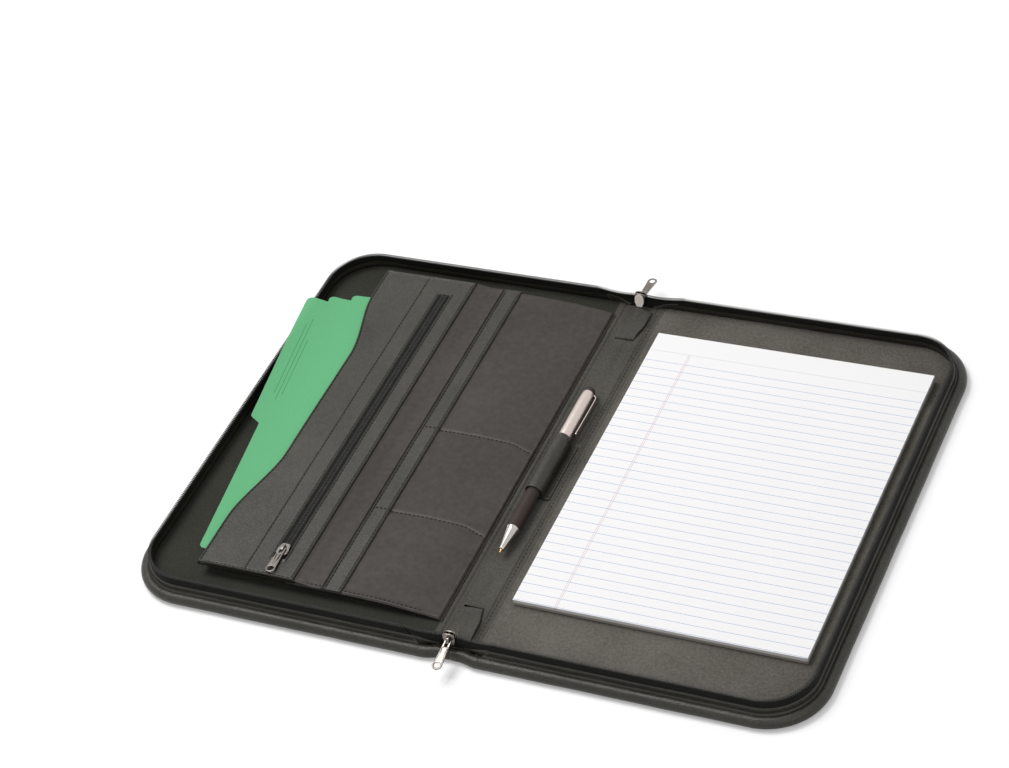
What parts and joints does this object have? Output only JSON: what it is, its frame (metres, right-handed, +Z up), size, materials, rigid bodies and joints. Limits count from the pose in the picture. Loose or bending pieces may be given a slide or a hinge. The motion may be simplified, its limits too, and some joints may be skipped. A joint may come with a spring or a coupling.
{
  "type": "zippered padfolio",
  "caption": "Zip-round leatherette portfolio lying open, with a writing pad, a twist pen in a spine loop, an organiser with zipped pockets and tabbed cards.",
  "frame": {"origin": "middle of the spine on the table, in the middle of the footprint", "axes": "+X across the open case over the back cover and pad, +Y to the top of the pad, +Z up"},
  "size_m": [0.53, 0.4108, 0.0227],
  "materials": {
    "leatherette": "fine grain, satin",
    "lining": "matte woven",
    "vinyl": "smooth soft vinyl",
    "zip_tape": "black twill",
    "zip_coil": "satin nylon",
    "nickel": "polished nickel",
    "paper": "uncoated",
    "grey_board": "uncoated",
    "pad_binding": "glued edge",
    "pen_silver": "satin champagne",
    "soft_rubber": "matte",
    "refill_metal": "plain",
    "green_card": "uncoated"
  },
  "bodies": {
    "back_cover": {"back_shell": "leatherette", "back_lining": "lining", "pad_pocket_panel": "lining", "back_wall": "leatherette", "back_zip_tape": "zip_tape", "back_zip_teeth": "zip_coil", "back_piping": "leatherette"},
    "spine": {"spine_panel": "leatherette", "spine_lining": "lining", "spine_piping": "leatherette", "pen_loop": "leatherette", "zip_end_top": "leatherette", "zip_end_bottom": "leatherette"},
    "front_cover": {"front_shell": "leatherette", "front_lining": "lining", "front_wall": "leatherette", "front_zip_tape": "zip_tape", "front_zip_teeth": "zip_coil", "front_piping": "leatherette", "card_panel": "vinyl", "pocket_gusset_bottom": "lining", "pocket_gusset_top": "lining", "zip_panel": "leatherette", "inner_zip_tape": "zip_tape", "inner_zip_teeth": "zip_coil", "card_lap": "vinyl", "card_strap": "leatherette", "outer_zip_tape": "zip_tape", "outer_zip_teeth": "zip_coil"},
    "inner_slider": {"inner_slider": "nickel"},
    "inner_pull": {"inner_pull": "nickel"},
    "outer_slider": {"outer_slider": "nickel"},
    "outer_pull": {"outer_pull": "nickel"},
    "top_slider": {"top_slider": "nickel"},
    "top_pull": {"top_pull": "nickel"},
    "bottom_slider": {"bottom_slider": "nickel"},
    "bottom_pull": {"bottom_pull": "nickel"},
    "pad": {"pad_sheets": "paper", "pad_backing": "grey_board", "pad_head": "pad_binding"},
    "pen": {"pen_grip": "soft_rubber", "pen_cone": "nickel"},
    "pen_barrel": {"pen_barrel": "pen_silver", "pen_stylus": "soft_rubber"},
    "pen_refill": {"pen_refill": "refill_metal"},
    "cards": {"divider_card_1": "green_card", "divider_card_2": "green_card", "divider_card_3": "green_card"}
  },
  "joints": [
    {"name": "spine_fold", "type": "hinge", "parent": "back_cover", "child": "spine", "pos_m": [0.013, 0, 0.007], "axis": [0, 1, 0], "range_deg": [0, 90]},
    {"name": "cover_fold", "type": "hinge", "parent": "spine", "child": "front_cover", "pos_m": [-0.013, 0, 0.007], "axis": [0, 1, 0], "range_deg": [0, 90]},
    {"name": "bottom_slider_slide", "type": "slide", "parent": "spine", "child": "bottom_slider", "axis": [0, 0, 1], "range_m": [0, 0.004]},
    {"name": "bottom_pull_swing", "type": "hinge", "parent": "bottom_slider", "child": "bottom_pull", "pos_m": [0, -0.1816, 0.0159], "axis": [-1, 0, 0], "range_deg": [-27, 88]},
    {"name": "top_slider_slide", "type": "slide", "parent": "spine", "child": "top_slider", "axis": [0, 0, 1], "range_m": [0, 0.004]},
    {"name": "top_pull_swing", "type": "hinge", "parent": "top_slider", "child": "top_pull", "pos_m": [0, 0.1816, 0.0159], "axis": [1, 0, 0], "range_deg": [-27, 88]},
    {"name": "inner_slider_slide", "type": "slide", "parent": "front_cover", "child": "inner_slider", "axis": [0, 1, 0], "range_m": [0, 0.27]},
    {"name": "inner_pull_swing", "type": "hinge", "parent": "inner_slider", "child": "inner_pull", "pos_m": [-0.153, -0.1345, 0.021], "axis": [-1, 0, 0], "range_deg": [0, 180]},
    {"name": "outer_slider_slide", "type": "slide", "parent": "front_cover", "child": "outer_slider", "axis": [0, -1, 0], "range_m": [0, 0.29]},
    {"name": "outer_pull_swing", "type": "hinge", "parent": "outer_slider", "child": "outer_pull", "pos_m": [-0.202, 0.1565, 0.002], "axis": [1, 0, 0], "range_deg": [0, 180]},
    {"name": "pad_slide", "type": "slide", "parent": "back_cover", "child": "pad", "axis": [0, 1, 0], "range_m": [-0.02, 0.018]},
    {"name": "pen_slide", "type": "slide", "parent": "spine", "child": "pen", "axis": [0, 1, 0], "range_m": [-0.02, 0.08]},
    {"name": "pen_twist", "type": "hinge", "parent": "pen", "child": "pen_barrel", "pos_m": [0, 0, 0.0138], "axis": [0, 1, 0], "range_deg": [0, 180]},
    {"name": "refill_slide", "type": "slide", "parent": "pen", "child": "pen_refill", "axis": [0, 1, 0], "range_m": [0, 0.004]},
    {"name": "cards_slide", "type": "slide", "parent": "front_cover", "child": "cards", "axis": [1, 0, 0], "range_m": [0, 0.015]}
  ],
  "couplings": [
    {"joint": "refill_slide", "follows": "pen_twist", "m_per_rad": 0.001273}
  ]
}
